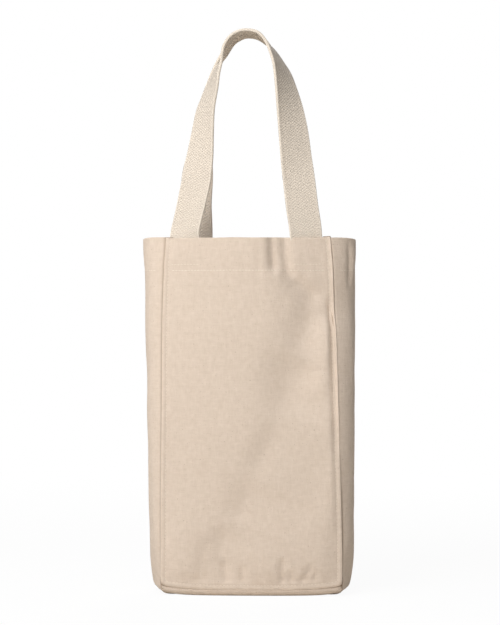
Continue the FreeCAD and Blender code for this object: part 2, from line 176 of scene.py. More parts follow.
# %% [markdown]
# ## Floor
# The carrier stands on a pale table that melts into the background. A plain white floor could
# serve, but its far edge would show. This one also glows for the camera alone: fully at a
# distance, and a little less near the carrier, which leaves room for its shadow.

# %% Floor
FLOOR_TONE, FLOOR_HALF, FLOOR_LEVEL = (0.72, 0.68, 0.62), 14, -0.0005
GLOW_NEAR, GLOW_FAR, GLOW_LEAST = 0.5, 1.6, 0.93
floor_finish, tree = blank_material("pale_floor")
path = add(tree, "ShaderNodeLightPath")
pale = tinted(tree, path.outputs["Is Camera Ray"], FLOOR_TONE, WHITE)
matt = add(tree, "ShaderNodeBsdfDiffuse", Color=pale)
glow = add(tree, "ShaderNodeEmission", Color=(*WHITE, 1), Strength=1.0)
away = add(tree, "ShaderNodeVectorMath", operation="LENGTH")
tree.links.new(add(tree, "ShaderNodeNewGeometry").outputs["Position"], away.inputs[0])
fade = add(tree, "ShaderNodeMapRange", Value=away.outputs["Value"], From_Min=GLOW_NEAR,
           From_Max=GLOW_FAR, To_Min=GLOW_LEAST, To_Max=1.0)
glowing = calc(tree, "MULTIPLY", path.outputs["Is Camera Ray"], fade.outputs["Result"])
mix = add(tree, "ShaderNodeMixShader")
for socket, source in zip(mix.inputs, (glowing, matt.outputs[0], glow.outputs[0])):
    tree.links.new(source, socket)
add(tree, "ShaderNodeOutputMaterial", Surface=mix.outputs[0])
bm = bmesh.new()
bmesh.ops.create_grid(bm, x_segments=1, y_segments=1, size=FLOOR_HALF)
ground = bpy.data.meshes.new("floor")
bm.to_mesh(ground)
bm.free()
ground.materials.append(floor_finish)
floor = bpy.data.objects.new("floor", ground)
floor.location.z = FLOOR_LEVEL
bpy.context.collection.objects.link(floor)
print("floor:", 2 * FLOOR_HALF, "m wide")

# %% [markdown]
# ## Finishes
# Natural canvas is a plain weave of unbleached cotton: threads of uneven thickness, and dark
# flecks of seed husk. A picture of cloth could be laid on it, but a weave worked out by nodes
# stays sharp from any distance. Each piece carries a map called cut, which holds its place on
# the flat cloth in metres, so that the weave follows the folds. The webbing is a plain weave of
# thick yarns, and its map gives the place across and along the tape.


# %% Shared parts of the cloth finishes
def cut_place(tree):
    """The place on the flat cloth, as a vector and as its two lengths."""
    place = add(tree, "ShaderNodeUVMap", uv_map="cut")
    parts = add(tree, "ShaderNodeSeparateXYZ", Vector=place.outputs["UV"])
    return place.outputs["UV"], parts.outputs["X"], parts.outputs["Y"]


def yarns(tree, length, pitch):
    """A wave along a length, with one yarn in each pitch."""
    return calc(tree, "SINE", calc(tree, "MULTIPLY", length, math.pi / pitch))


def threads(tree, place, across, along, seed):
    """Noise drawn out along one set of threads, from about -0.5 to 0.5."""
    spread = add(tree, "ShaderNodeMapping", Vector=place, Scale=(across, along, 1),
                 Location=(seed, seed * 2, 0))
    grain = add(tree, "ShaderNodeTexNoise", Vector=spread.outputs["Vector"], Scale=1.0,
                Detail=2.0, Roughness=0.6)
    return calc(tree, "SUBTRACT", grain.outputs["Fac"], 0.5)


def crossed(tree, place, first, second):
    """The uneven threads of both directions together."""
    return calc(tree, "ADD", threads(tree, place, *first), threads(tree, place, *second))


def cloth_surface(tree, colour, height, depth, strength):
    """Dull cotton with a little sheen, over the relief of its weave."""
    bump = add(tree, "ShaderNodeBump", Strength=strength, Distance=depth, Height=height)
    skin = add(tree, "ShaderNodeBsdfPrincipled", Roughness=0.92, Base_Color=colour,
               Sheen_Weight=0.12, Sheen_Roughness=0.6, Normal=bump.outputs["Normal"])
    skin.inputs["Specular IOR Level"].default_value = 0.15
    add(tree, "ShaderNodeOutputMaterial", Surface=skin.outputs[0])


print("helpers for cloth are ready")

# %% Canvas
CANVAS, CANVAS_DEEP = (0.795, 0.672, 0.566), (0.69, 0.568, 0.46)
# flecks of husk, and SHADE, the colour of the shade painted into the crevices
HUSK, SHADE = (0.40, 0.29, 0.2), (0.30, 0.2, 0.13)
THREAD_PITCH, CANVAS_RELIEF = 0.62 * MM, 0.3 * MM
# noise per metre across and along the threads, and its seed
SLUB = (1500, 130, 1.3), (130, 1500, 4.1)
STREAK = (520, 70, 8.3), (90, 420, 5.9)
CLOUDS, SPECKS, SPECK_LEAST, SPECK_SHOWS = 190.0, 620.0, 0.735, 0.55


def canvas_finish(name):
    """Uneven threads, husks and shade painted into the crevices, over the relief of a fine weave."""
    finish, tree = blank_material(name)
    place, across, up = cut_place(tree)
    weave = calc(tree, "MULTIPLY", yarns(tree, across, THREAD_PITCH), yarns(tree, up, THREAD_PITCH))
    slub = crossed(tree, place, *SLUB)
    streak = crossed(tree, place, *STREAK)
    cloud = add(tree, "ShaderNodeTexNoise", Vector=place, Scale=CLOUDS, Detail=3.0)
    uneven = calc(tree, "MULTIPLY_ADD", streak, 0.6, cloud.outputs["Fac"])
    colour = tinted(tree, calc(tree, "MULTIPLY_ADD", slub, 0.9, uneven), CANVAS, CANVAS_DEEP)
    specks = add(tree, "ShaderNodeTexNoise", Vector=place, Scale=SPECKS, Detail=1.0)
    speck = calc(tree, "GREATER_THAN", specks.outputs["Fac"], SPECK_LEAST)
    colour = tinted(tree, calc(tree, "MULTIPLY", speck, SPECK_SHOWS), colour, HUSK)
    # painted shade: the seams, turned edges and lower corners are darkened in the colour
    painted_shade = add(tree, "ShaderNodeAttribute", attribute_name="painted_shade")
    colour = tinted(tree, painted_shade.outputs["Fac"], colour, SHADE)
    rough = calc(tree, "MULTIPLY_ADD", slub, 1.2, calc(tree, "MULTIPLY", streak, 1.5))
    height = calc(tree, "MULTIPLY_ADD", weave, 0.35, rough)
    cloth_surface(tree, colour, height, CANVAS_RELIEF, 0.55)
    return finish


canvas = canvas_finish("natural_canvas")
print("finish:", canvas.name)

# %% Webbing
WEB_PALE, WEB_DEEP = (0.80, 0.715, 0.615), (0.47, 0.36, 0.26)
WARP, WEFT, SELVEDGE, WEB_RELIEF = 2.1 * MM, 1.4 * MM, 14.4 * MM, 0.27 * MM
WEB_SLUB = (900, 90, 2.2), (150, 900, 7.7)


def webbing_finish(name):
    """Thick yarns that cross between two smoother selvedges, with shade painted into the hollows of the
    weave.
    """
    finish, tree = blank_material(name)
    place, across, along = cut_place(tree)
    under = yarns(tree, along, WEFT)
    knots = calc(tree, "MULTIPLY", yarns(tree, across, WARP), under)
    rib = yarns(tree, along, WEFT / 2)
    knots = calc(tree, "MULTIPLY_ADD", rib, 0.35, calc(tree, "MULTIPLY", knots, 0.8))
    edge = calc(tree, "GREATER_THAN", calc(tree, "ABSOLUTE", across), SELVEDGE)
    inner = calc(tree, "MULTIPLY", knots, calc(tree, "SUBTRACT", 1.0, edge))
    weave = calc(tree, "MULTIPLY_ADD", calc(tree, "MULTIPLY", under, 0.12), edge, inner)
    slub = crossed(tree, place, *WEB_SLUB)
    # The colour is darker in the hollows of the weave, which is painted shade; slubs vary it at random,
    # and the selvedges are paler.
    deep = calc(tree, "MULTIPLY_ADD", weave, -0.13, 0.14)
    deep = calc(tree, "MULTIPLY_ADD", slub, 0.06, deep)
    deep = calc(tree, "SUBTRACT", deep, calc(tree, "MULTIPLY", edge, 0.12))
    height = calc(tree, "MULTIPLY_ADD", slub, 0.04, weave)
    cloth_surface(tree, tinted(tree, deep, WEB_PALE, WEB_DEEP), height, WEB_RELIEF, 1.0)
    return finish


webbing = webbing_finish("woven_webbing")
print("finish:", webbing.name)

# %% Thread
THREAD_PALE, THREAD_DEEP = (0.95, 0.86, 0.75), (0.82, 0.71, 0.6)
PLY_TURN, THREAD_RELIEF = 0.5 * MM, 0.12 * MM
FUZZ = (900, 900, 3.3)


def thread_finish(name):
    """Pale twisted cotton."""
    finish, tree = blank_material(name)
    place, across, along = cut_place(tree)
    ply = yarns(tree, calc(tree, "ADD", across, along), PLY_TURN / 2)
    fuzz = calc(tree, "ADD", threads(tree, place, *FUZZ), 0.4)
    colour = tinted(tree, calc(tree, "MULTIPLY_ADD", ply, 0.2, fuzz), THREAD_PALE, THREAD_DEEP)
    cloth_surface(tree, colour, ply, THREAD_RELIEF, 0.5)
    return finish


thread = thread_finish("cotton_thread")
print("finish:", thread.name)

# %% [markdown]
# ## The shape of the standing bag
# The bag stands open, and its outline changes from the foot to the rim: the seams draw in,
# the panels bow outward and the gussets bulge. It could be sculpted, but then no size could be
# read or changed. A few rows of measured sections say all of it, and a smooth curve through
# each row gives the section at any height.

# %% Sections
# each row is (height, size)
HALF_WIDTH = [(0, 88.8), (36, 88.3), (95, 87.6), (192, 85.8), (260, 84.9), (319, 82.8), (350, 80.4)]
HALF_DEPTH = [(0, 44.5), (60, 44), (130, 43), (220, 41), (319, 38), (350, 37.5)]
PANEL_BOW = [(0, 4), (19, 4.2), (60, 5), (130, 6), (220, 8), (319, 10), (350, 10)]
GUSSET_BOW = [(0, 2), (4, 4.6), (7, 8.0), (11, 9.6), (19, 10.9), (36, 12.2), (75, 13.6),
              (130, 15.2), (192, 17.4), (250, 18.9), (319, 22), (350, 25.2)]
RIM, HEM, FOOT = 350.0, 318.0, 7.0


def along(rows, at):
    """A smooth curve through rows of (place, value) that never overshoots them."""
    if at <= rows[0][0]:
        return rows[0][1]
    if at >= rows[-1][0]:
        return rows[-1][1]
    rise = [(b[1] - a[1]) / (b[0] - a[0]) for a, b in zip(rows, rows[1:])]
    inner = [2 * a * b / (a + b) if a * b > 0 else 0.0 for a, b in zip(rise, rise[1:])]
    slope = [rise[0], *inner, rise[-1]]
    i = max(k for k in range(len(rows) - 1) if rows[k][0] <= at)
    (a, low), (b, high) = rows[i], rows[i + 1]
    span, t = b - a, (at - a) / (b - a)
    return (low * (1 + 2 * t) * (1 - t) ** 2 + high * t * t * (3 - 2 * t)
            + span * slope[i] * t * (1 - t) ** 2 - span * slope[i + 1] * t * t * (1 - t))


@lru_cache(maxsize=None)
def section(level):
    """Half width, half depth, panel bow and gusset bow at a height, all in millimetres."""
    return tuple(along(rows, level) for rows in (HALF_WIDTH, HALF_DEPTH, PANEL_BOW, GUSSET_BOW))


print("section at mid height", [round(v, 1) for v in section(RIM / 2)])

# %% How the bag stands
FOOT_TURN, FOOT_SHIFT, FRONT_HALF = math.radians(2.2), 2.3, 88.0


def ease(low, high, at):
    """From 0 at low to 1 at high, with soft ends."""
    t = min(1.0, max(0.0, (at - low) / (high - low)))
    return t * t * (3 - 2 * t)


def stand(x, y, z):
    """A place on the bag, in metres. The bag stands a little crooked: its foot is turned and set
    over to the right of its rim, and the right front seam is pulled outward."""
    low = 1 - min(max(z, 0.0), RIM) / RIM
    turn = FOOT_TURN * low ** 1.2
    c, s = math.cos(turn), math.sin(turn)
    right = 1 + min(1.0, max(-1.0, x / FRONT_HALF))
    pull = right * ease(0, 40, -y) * (0.5 + 0.5 * ease(10, 60, z))
    return Vector((x * c - y * s + FOOT_SHIFT * low + pull, x * s + y * c, z)) * MM


def turned(at, low, high, fold):
    """Cloth past low or high is folded back inside: its place along the wall, and its depth."""
    for edge, way in ((low, -1), (high, 1)):
        past = way * (at - edge) + fold
        if past >= math.pi * fold:
            return edge - way * (fold + past - math.pi * fold), 2 * fold
        if past > 0:
            bend = past / fold
            return edge + way * (fold * math.sin(bend) - fold), fold * (1 - math.cos(bend))
    return at, 0.0


print("the foot's middle stands at", [round(v, 4) for v in stand(0, 0, 0)])

# %% [markdown]
# ## Folds
# Canvas is stiff, so it creases in long soft valleys and short puckers by the seams. A cloth
# simulation could make folds, but not each one in its own place. Here each crease is a line on
# the panel with a width and a height. Beside the edges the cloth is turned under and sewn down,
# which leaves a raised welt with a groove along the stitches.

# %% Creases of the two panels
# height, width, how many times wider on its right, end fade, points (across, up) from outside
FRONT_CREASES = [
    (-2.9, 3.8, 1, 18, [(22.6, 366), (22.8, 338), (25.0, 310)]),
    (-2.6, 6.5, 1, 14, [(27, 362), (27.5, 310)]),
    (-3.9, 5.4, 1, 12, [(36, 362), (36.5, 334), (38.5, 318), (44, 306)]),
    (3.4, 12.0, 1, 24, [(79, 280), (77, 250), (73, 215), (68, 185)]),
    (2.4, 16.0, 1, 30, [(82, 190), (83, 120), (82, 50)]),
    (-3.2, 8.0, 1, 16, [(36, 314), (50, 303), (60, 295), (74, 286)]),
    (-3.6, 14.0, 1.3, 20, [(64, 280), (56, 260), (52, 248), (45, 232)]),
    (-6.4, 23.0, 1.4, 40, [(48, 250), (43, 225), (42, 201), (34, 178), (28, 160)]),
    (-3.6, 15.0, 2, 30, [(34, 180), (26, 160), (18, 141), (10, 124), (2, 106)]),
    (-4.4, 19.0, 2.5, 30, [(10, 124), (2, 106), (-4, 88), (-11, 72), (-21, 57)]),
    (-3.6, 14.0, 3, 20, [(-20, 74), (-26, 52), (-28, 30), (-30, 8)]),
    (-1.7, 6.5, 1.5, 16, [(-50, 6), (-48, 30), (-44, 60)]),
    (-1.6, 3.0, 1.5, 8, [(-24, 10), (-27, 38)]),
    (-1.4, 3.0, 1.5, 8, [(-8, 10), (-9, 34)]),
    (-2.0, 3.4, 1.5, 10, [(31, 6), (29, 40)]),
    (-1.6, 3.0, 1.5, 8, [(40, 8), (38, 30)]),
    (-1.8, 3.6, 1.5, 10, [(48, 10), (60, 34)]),
    (-1.3, 3.0, 1.5, 8, [(60, 10), (64, 28)]),
]
BACK_CREASES = [
    (-2.2, 14.0, 1, 30, [(-52, 290), (-30, 230), (-12, 160), (8, 90), (24, 30)]),
    (2.4, 22.0, 1, 40, [(-26, 270), (0, 200), (24, 130)]),
    (-1.0, 2.2, 1, 6, [(-22, 349), (-23, 318)]),
    (-0.9, 2.2, 1, 6, [(12, 347), (13, 320)]),
    (-1.3, 9.0, 1, 14, [(-76, 280), (-44, 302), (-30, 312)]),
    (-0.9, 3.0, 1, 8, [(-44, 12), (-42, 40)]),
    (-0.9, 3.0, 1, 8, [(18, 12), (17, 36)]),
    (-0.8, 3.0, 1, 8, [(56, 12), (50, 34)]),
]
print("creases in front:", len(FRONT_CREASES), "and behind:", len(BACK_CREASES))

# %% Height of the creases
REACH = 2.6  # widths from a crease to where it has died away


def laid_out(creases):
    """The creases with their legs measured once: start, end, leg length and run up to the leg."""
    ready = []
    for height, width, wider, fade, points in creases:
        legs, run = [], 0.0
        for a, b in zip(points, points[1:]):
            legs.append((*a, *b, math.dist(a, b), run))
            run += legs[-1][4]
        xs, zs = [p[0] for p in points], [p[1] for p in points]
        reach = REACH * width
        low = (min(xs) - reach, min(zs) - reach)
        high = (max(xs) + reach * wider, max(zs) + reach)
        ready.append((height, width, wider, fade, legs, run, low, high))
    return ready


def bell(at, middle, spread):
    """1 at the middle, fading to 0 on both sides."""
    return math.exp(-(((at - middle) / spread) ** 2))


def crease_height(creases, x, z):
    """How far the creases move the cloth outward at a place."""
    total = 0.0
    for height, width, wider, fade, legs, length, low, high in creases:
        if not (low[0] < x < high[0] and low[1] < z < high[1]):
            continue
        best = (math.inf, 0.0, 0.0)
        for ax, az, bx, bz, leg, run in legs:
            t = min(1.0, max(0.0, ((x - ax) * (bx - ax) + (z - az) * (bz - az)) / leg ** 2))
            right = x - ax - t * (bx - ax)
            best = min(best, (math.hypot(right, z - az - t * (bz - az)), run + t * leg, right))
        off, run, right = best
        spread = width * (wider if right > 0 else 1)
        total += height * ease(0, fade, run) * ease(0, fade, length - run) * bell(off, 0, spread)
    return total


PANEL_CREASES = {"front": laid_out(FRONT_CREASES), "back": laid_out(BACK_CREASES)}
print("long front crease at its middle:", round(crease_height(PANEL_CREASES["front"], 42, 201), 1), "mm")

# %% Relief of a panel
HALF_CUT, FOLD, CORNER, SEAM_INSET = 88.9, 0.9, 4.0, 5.0
SEEDS = {"front": 3.0, "back": 31.0, "left": 90.0, "right": 60.0}


def ripple(x, z, wide, high, seed):
    """Slow noise from -1 to 1, with waves of about this width and height."""
    return noise.noise(Vector((x / wide, z / high, seed)))


def welt(edge):
    """Profile of a turned and topstitched edge, by the distance from that edge."""
    pillow = 0.5 * math.sin(math.pi * edge / SEAM_INSET) if edge < SEAM_INSET else 0.0
    return pillow - 0.22 * bell(edge, SEAM_INSET, 0.9)


def hem_relief(x, z, seed):
    """The doubled cloth of the hem, the groove of its stitches and the puckers that they draw."""
    doubled = 0.5 * ease(HEM + 1, HEM + 14, z) - 0.15 * bell(z, HEM, 1.2)
    return doubled + 0.6 * ripple(x, z, 6.5, 40, seed + 9) * bell(z, HEM, 12)


def set_back(z):
    """The right half of the front lies farther back than its left half, most at the hem."""
    return 4.6 * ease(190, 310, z)


def hem_hollow(z):
    """The hollow under the hem, where the right seam pulls the cloth in."""
    return 4.2 * bell(z, 279, 14 if z < 279 else 25)


def hem_step(z):
    """How far the set-back and the hollow take the right front seam back."""
    return set_back(z) + hem_hollow(z)


def proud_seam(edge, z):
    """The right front seam stands out, with a narrow valley beside it."""
    ridge = 1.6 * (1 - ease(0, 2.8, edge)) * ease(105, 180, z)
    valley = (2.0 + 0.8 * bell(z, 275, 18)) * bell(edge, 3.2, 1.7 if edge < 3.2 else 4.0)
    return ridge - valley * ease(138, 180, z) * (1 - ease(270, 302, z))


def panel_relief(side, share, x, z):
    """How far a panel stands out from its even bow. Creases fade out before a sewn edge."""
    inward = HALF_CUT * (1 - abs(share))
    edge = min(inward, max(0.0, z - FOOT))
    seed = SEEDS[side]
    lift = 3.4 * ease(FOOT - 1, FOOT + 20, z) * (1 - ease(30, 120, z)) * ease(1, 24, inward)
    if side == "front":
        lift -= set_back(z) * ease(14, 50, x) + hem_hollow(z) * ease(38, 64, x)
    if side == "front" and share > 0:
        lift += proud_seam(edge, z)
    slow = ripple(x, z, 48, 62, seed) * 1.3 + ripple(x, z, 17, 23, seed + 5) * 0.35
    folds = slow + hem_relief(x, z, seed) + crease_height(PANEL_CREASES[side], x, z)
    pucker = 0.35 * ripple(edge, z + x, 9, 5.5, seed) * bell(edge, 7, 7)
    return welt(edge) + lift + ease(3, 11, edge) * folds + pucker


print("relief in the middle of the front:", round(panel_relief("front", 0, 0, RIM / 2), 1), "mm")


# %% Surface of a panel
def bow_radius(half, bow):
    """Radius of an arc from its half chord and its height."""
    return (half * half + bow * bow) / (2 * bow)


def foot_lift(x):
    """The lower seam sags in the middle and climbs to the corners."""
    return -1.8 + 4.8 * (abs(x) / FRONT_HALF) ** 4


def panel_surface(side, share, z, depth):
    """A place on a panel: share from -1 to 1 across it, height, and depth behind its outer face."""
    half, deep, bow, _ = section(round(z, 1))
    radius = bow_radius(half, bow)
    angle = share * math.asin(half / radius)
    r = radius - depth + panel_relief(side, share, radius * math.sin(angle), z)
    x, y = r * math.sin(angle), radius - deep - bow - r * math.cos(angle)
    level = z + foot_lift(x) * (1 - ease(FOOT, 50, z))
    level += 0.6 * noise.noise(Vector((x / 30, 7.7, 0))) * ease(300, RIM, z)
    if side == "back":
        x, y = -x, -y
    else:
        level += 0.8 * ease(0.8, 1.0, share) * ease(300, RIM, z)
    return stand(x, y, level)


def panel_cloth(side, across, up):
    """Where a place on the flat panel goes: edges turned under, lower corners rounded."""
    place, inside = turned(across, -HALF_CUT, HALF_CUT, FOLD)
    level, lower = turned(up, FOOT, RIM, FOLD)
    wide, high = CORNER - HALF_CUT + abs(place), CORNER - level + FOOT
    if wide > 0 and high > 0 and math.hypot(wide, high) > CORNER:
        pull = CORNER / math.hypot(wide, high)
        place = math.copysign(HALF_CUT - CORNER + wide * pull, place)
        level = FOOT + CORNER - high * pull
    return panel_surface(side, place / HALF_CUT, level, inside + lower)


print("middle of the front at", [round(v, 4) for v in panel_cloth("front", 0, RIM / 2)])

# %% [markdown]
# ## Cutting and sewing a piece
# The real pieces are cut flat, turned at their edges and sewn. Each could be modelled on its own
# in the editor, but one helper serves every cloth piece. It lays a grid for the flat cloth, with
# closer rows where the cloth will be turned, then carries each corner of the grid to its sewn
# place. The flat place is kept as the map called cut. Solidify then gives the cloth its ply.

# %% The sewing helper
PLY, WELD = 0.8, 2e-6


def spaced(*stops):
    """Places from stop to stop; each stop is (place, step to use after it)."""
    places = []
    for (a, step), (b, _) in zip(stops, stops[1:]):
        n = max(1, round((b - a) / step))
        places += [a + (b - a) * i / n for i in range(n)]
    return places + [stops[-1][0]]


def linked(name, bm, finish):
    """A finished mesh becomes a piece of the scene."""
    mesh = bpy.data.meshes.new(name)
    bm.to_mesh(mesh)
    bm.free()
    mesh.materials.append(finish)
    piece = bpy.data.objects.new(name, mesh)
    bpy.context.collection.objects.link(piece)
    return piece


def sewn(name, columns, rows, place, finish,
         ply=PLY, cut=None, painted_shade=None, keep=None, closed=False):
    """A flat grid carried to its sewn place. cut gives another flat place for the weave, the argument
    after it the shade painted into the colour along the seams, keep the faces that stay, and closed joins
    the grid to a tube."""
    bm = bmesh.new()
    # a layer for the shade painted into the colour, and the map of the flat cloth
    shade, layer = bm.verts.layers.float.new("painted_shade"), bm.loops.layers.uv.new("cut")
    bmesh.ops.create_grid(bm, x_segments=len(columns) - 1, y_segments=len(rows) - 1, size=1)
    flat = {}
    for v in bm.verts:
        flat[v] = (columns[round((v.co.x + 1) / 2 * (len(columns) - 1))],
                   rows[round((v.co.y + 1) / 2 * (len(rows) - 1))])
    for v, (c, r) in flat.items():
        v.co = place(c, r)
        v[shade] = painted_shade(c, r) if painted_shade else 0.0
    for face in bm.faces:
        face.smooth = True
        for loop in face.loops:
            c, r = flat[loop.vert]
            c, r = cut(c, r) if cut else (c, r)
            loop[layer].uv = (c * MM, r * MM)
    if keep:
        gone = [f for f in bm.faces if not keep(*(sum(flat[v][k] for v in f.verts) / 4 for k in (0, 1)))]
        bmesh.ops.delete(bm, geom=gone, context="FACES")
    if closed:
        bmesh.ops.remove_doubles(bm, verts=bm.verts[:], dist=WELD)
        bmesh.ops.holes_fill(bm, edges=[e for e in bm.edges if e.is_boundary], sides=0)
    piece = linked(name, bm, finish)
    if ply:
        thick = piece.modifiers.new("ply", "SOLIDIFY")
        thick.thickness, thick.offset = ply * MM, -1
    print(name, len(piece.data.polygons), "faces")
    return piece


print("ten millimetres in steps of about four:", [round(v, 1) for v in spaced((0, 4), (10, 4))])

# %% [markdown]
# ## Panels
# The front and the back are the same cut of canvas, turned under on three sides and hemmed at
# the rim. Two plain faces of a box could stand for them, but the turned edges are what makes
# them look sewn, so the grid is close there and follows the turn to the inside.

# %% Front and back panel
# places on the flat cloth, each with the step after it
panel_columns = spaced((-97, 2), (-91.5, 0.45), (-86.5, 0.8), (-78, 1.9),
                       (78, 0.8), (86.5, 0.45), (91.5, 2), (97, 2))
panel_rows = spaced((-2, 2), (4, 0.45), (10, 0.9), (24, 2.1), (314, 1), (326, 2),
                    (346, 0.45), (354, 3), (381, 3))


def panel_painted_shade(across, up):
    """Painted shade inside the turned edges, along the stitches and in the lower corners."""
    place, inside = turned(across, -HALF_CUT, HALF_CUT, FOLD)
    level, lower = turned(up, FOOT, RIM, FOLD)
    edge = min(HALF_CUT - abs(place), level - FOOT)
    corner = math.hypot(HALF_CUT - abs(place), level - FOOT)
    shade = 0.7 * ease(0.5, 1.8, inside + (lower if up < 20 else 0))
    return min(1.0, shade + 0.06 * bell(edge, SEAM_INSET, 0.8) + 0.4 * bell(corner, 2, 2.2))


panels = {}
for side in ("front", "back"):
    panels[side] = sewn(f"{side}_panel_cloth", panel_columns, panel_rows,
                        lambda c, r, side=side: panel_cloth(side, c, r),
                        canvas, painted_shade=panel_painted_shade)
    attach(panels[side], "bag")
    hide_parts(f"{side}_panel")

# %% [markdown]
# ## Gussets
# A gusset is the narrow side wall. Its edges run in under the panels and are caught by their
# topstitching. It could stop at the seams, but then light would show through them, so the
# tucked flanges are made too. It has been folded flat for storage, so a soft crease runs down
# its middle.

# %% Creases of a gusset
HALF_GUSSET, TUCK, TUCK_DEPTH, GUSSET_FOOT, LAP = 52.0, 9.0, 2.0, 4.5, 0.5
GUSSET_CREASES = {
    "left": laid_out([
        (-0.8, 4, 1, 20, [(-22, 345), (-20, 270)]),
        (-0.9, 5, 1, 30, [(18, 340), (16, 250)]),
    ]),
    "right": laid_out([
        (-1.5, 3.5, 1, 16, [(-35, 351), (-34, 330), (-34, 296)]),
        (1.0, 4.0, 1, 20, [(-26, 348), (-25, 300)]),
        (-1.6, 5.0, 1, 40, [(-16, 335), (-15, 240), (-14, 120)]),
        (-0.9, 5, 1, 30, [(20, 340), (16, 250)]),
    ]),
}
print("gusset creases:", {side: len(rows) for side, rows in GUSSET_CREASES.items()})


# %% Surface of a gusset
def front_right(side, share):
    """Whether a place on a gusset is on the right front seam's side."""
    return side == "right" and share < 0


def flange_place(side, share, z, depth):
    """The edge of a gusset that lies tucked in behind a panel."""
    half, deep, bow, _ = section(round(z, 1))
    radius = bow_radius(half, bow)
    run = (abs(share) - 1) * HALF_GUSSET
    angle = (1 - run / HALF_CUT) * math.asin(half / radius)
    r = radius - TUCK_DEPTH - depth
    if front_right(side, share):
        r -= hem_step(z)
    y = radius - deep - bow - r * math.cos(angle)
    return r * math.sin(angle), y * (1 if share < 0 else -1)


def seam_depth(side, share, z):
    """How far behind the panel's face a gusset starts: the right front seam stands proud."""
    if front_right(side, share):
        return TUCK_DEPTH - 2.5 * ease(105, 150, z) + hem_step(z)
    return TUCK_DEPTH


def gusset_relief(side, c, z, calm):
    """Waves, creases, the storage fold down the middle and the doubled hem."""
    seed = SEEDS[side]
    relief = ripple(c, z, 22, 60, seed) * 1.1 + ripple(c, z, 9, 25, seed + 4) * 0.3
    relief += crease_height(GUSSET_CREASES[side], c, z) * calm
    relief += 0.7 * bell(c, 0, 1.6) * (1 - ease(250, 330, z)) - 0.5 * bell(c, 0, 9)
    return relief + 0.3 * ease(HEM + 1, HEM + 14, z)


def wall_place(side, share, z, depth):
    """The part of a gusset that shows: a bulge between its seams, rounder at the foot."""
    half, deep, _, bulge = section(round(z, 1))
    half, deep, bulge = half - LAP, deep - seam_depth(side, share, z), bulge + LAP
    square = 2.0 + 2.0 * ease(10, 60, z)
    if side == "right":
        square -= 1.2 * ease(225, 300, z)
    bend = math.atan(square * bulge / deep * abs(share) ** (square - 1))
    calm = 1 - abs(share) ** 6
    out = calm * gusset_relief(side, share * HALF_GUSSET, z, calm) - depth
    x = half + bulge * (1 - abs(share) ** square) + out * math.cos(bend)
    return x, share * deep + out * math.sin(bend) * (1 if share > 0 else -1)


def rim_rise(side, share):
    """The rim sags in the middle of a gusset and climbs towards the front seam."""
    rise = -0.8 * bell(share, 0, 0.7)
    if front_right(side, share):
        rise += 1.0 * bell(share, -0.8, 0.45)
    if side == "left" and share > 0:
        rise += 1.6 * bell(share, 0.8, 0.45)
    return rise


def gusset_surface(side, share, z, depth):
    """A place on a gusset: share from -1, at its front seam as seen on the right side, to 1."""
    part = flange_place if abs(share) > 1 else wall_place
    x, y = part(side, share, z, depth)
    level = z + rim_rise(side, share) * ease(310, RIM, z)
    if side == "left":
        x, y = -x, -y
    return stand(x, y, level)


print("right gusset at mid height:", [round(v, 4) for v in gusset_surface("right", 0, RIM / 2, 0)])

# %% Left and right gusset
tucked = HALF_GUSSET + TUCK
gusset_columns = spaced((-tucked, 1.5), (-53, 0.7), (-46, 1.5), (46, 0.7), (53, 1.5), (tucked, 1.5))
gusset_rows = spaced((-4, 2), (1.5, 0.45), (14, 1), (24, 2.2), (314, 1), (326, 2),
                     (346, 0.45), (354, 3), (381, 3))


def gusset_cloth(side, across, up):
    """Where a place on the flat gusset goes, with its foot and its rim turned in."""
    level, lower = turned(up, GUSSET_FOOT, RIM - 0.4, FOLD)
    return gusset_surface(side, across / HALF_GUSSET, level, lower)


def gusset_painted_shade(side, across, up):
    """Painted shade along the seams; high up on the right front seam there is none, as it stands proud.
    """
    deep = 0.7 + 0.25 * (1 - ease(25, 60, up))
    if front_right(side, across):
        deep = 1.0 - ease(85, 125, up)
    return deep * bell(abs(across), HALF_GUSSET, 1.1)


gussets = {}
for side in ("left", "right"):
    gussets[side] = sewn(f"{side}_gusset_cloth", gusset_columns, gusset_rows,
                         lambda c, r, side=side: gusset_cloth(side, c, r), canvas,
                         painted_shade=lambda c, r, side=side: gusset_painted_shade(side, c, r))
    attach(gussets[side], "bag")
    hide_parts(f"{side}_gusset")

# %% [markdown]
# ## Bottom
# The bottom is a shallow tray of canvas whose walls stand up inside the other pieces. Only a
# low rounded band of it shows below the panels. A bevelled box could do, but its sides would not
# bow like the walls. Rings from the top of its wall down over the rounded edge to the middle of
# the floor give its shape instead, each ring following the bag's outline.

# %% Outline of the bag
# height, inset at the panels, inset at the gussets
TRAY_RINGS = [(17, 2.9, 4.0), (13, 2.8, 4.0), (10.5, 2.4, 4.0), (8.5, 1.2, 4.2), (7, 0.9, 4.8),
              (5.5, 0.8, 5.2), (4, 1.1, 6.2), (2.7, 1.9, 7.4), (1.6, 3.0, 8.8), (0.8, 4.6, 10.5),
              (0.3, 7.0, 13.0), (0, 11, 17)]
FLOOR_SCALES = (0.92, 0.8, 0.62, 0.4, 0.2, 0.0)
TRAY_STEPS, TRAY_STEP, LAST_WALL_RING = 176, 2.9, 9
# where the pieces lie on the roll of cloth, so that each has its own stretch of weave
WALL_ON_ROLL, FLOOR_ON_ROLL, DIVIDER_ON_ROLL = 200, 400, 700


